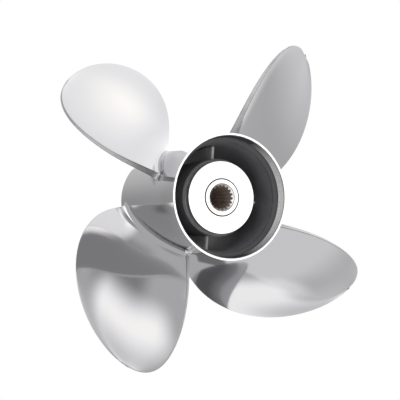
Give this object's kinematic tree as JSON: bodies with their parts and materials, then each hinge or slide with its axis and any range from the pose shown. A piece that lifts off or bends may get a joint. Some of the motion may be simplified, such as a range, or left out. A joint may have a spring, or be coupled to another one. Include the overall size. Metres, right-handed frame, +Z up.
{
  "type": "boat propeller",
  "caption": "Stainless outboard boat propeller: broad raked blades on a barrel that lets the exhaust out through the hub, with a splined sleeve in a rubber bushing for the shaft.",
  "frame": {"origin": "on the shaft axis, in the plane of the forward thrust face of the splined sleeve", "axes": "+Y along the shaft axis towards the bow, -Y towards the aft lip, +Z up, +X to starboard; the ribs stand on the X and Z axes"},
  "size_m": [0.3218, 0.1676, 0.3218],
  "materials": {
    "polished_stainless": "mirror polished stainless steel",
    "turned_stainless": "turned stainless steel, bright on the aft face",
    "dark_cast_steel": "dark, as cast, satin",
    "rubber": "matt black moulded rubber",
    "sleeve_steel": "turned steel, bright end faces and brownish spline flanks"
  },
  "bodies": {
    "root": {"barrel": "polished_stainless", "diffuser_ring": "polished_stainless", "blade_1": "polished_stainless", "blade_2": "polished_stainless", "blade_3": "polished_stainless", "blade_4": "polished_stainless", "inner_hub": "turned_stainless", "rib_1": "dark_cast_steel", "rib_2": "dark_cast_steel", "rib_3": "dark_cast_steel", "rib_4": "dark_cast_steel", "rubber_bushing": "rubber", "spline_sleeve": "sleeve_steel"}
  },
  "joints": []
}
